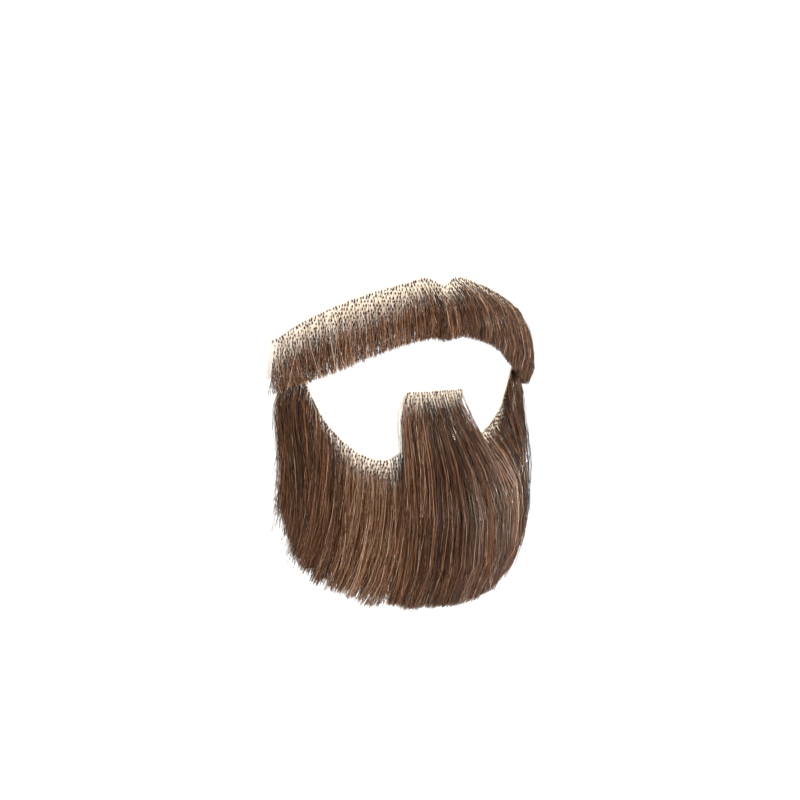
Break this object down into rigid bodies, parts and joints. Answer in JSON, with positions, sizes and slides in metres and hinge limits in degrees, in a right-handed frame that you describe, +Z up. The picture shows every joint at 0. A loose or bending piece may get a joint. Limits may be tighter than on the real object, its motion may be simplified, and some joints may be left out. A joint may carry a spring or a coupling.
{
  "type": "fake beard",
  "caption": "False mustache and goatee: brown hair knotted on curved lace, with a patch under the lip, two arms and a rounded, trimmed lower edge.",
  "frame": {"origin": "on the wearer's midline, on the inner face of the beard lace, at the most forward point of the chin", "axes": "+Z up the wearer's face, -Y the way the wearer looks, +X to the viewer's right"},
  "size_m": [0.0902, 0.0367, 0.0975],
  "materials": {
    "lace": "matte fine net",
    "hair": "satin strands"
  },
  "bodies": {
    "root": {"mustache_lace": "lace", "mustache_hair": "hair", "beard_lace": "lace", "beard_hair": "hair"}
  },
  "joints": []
}
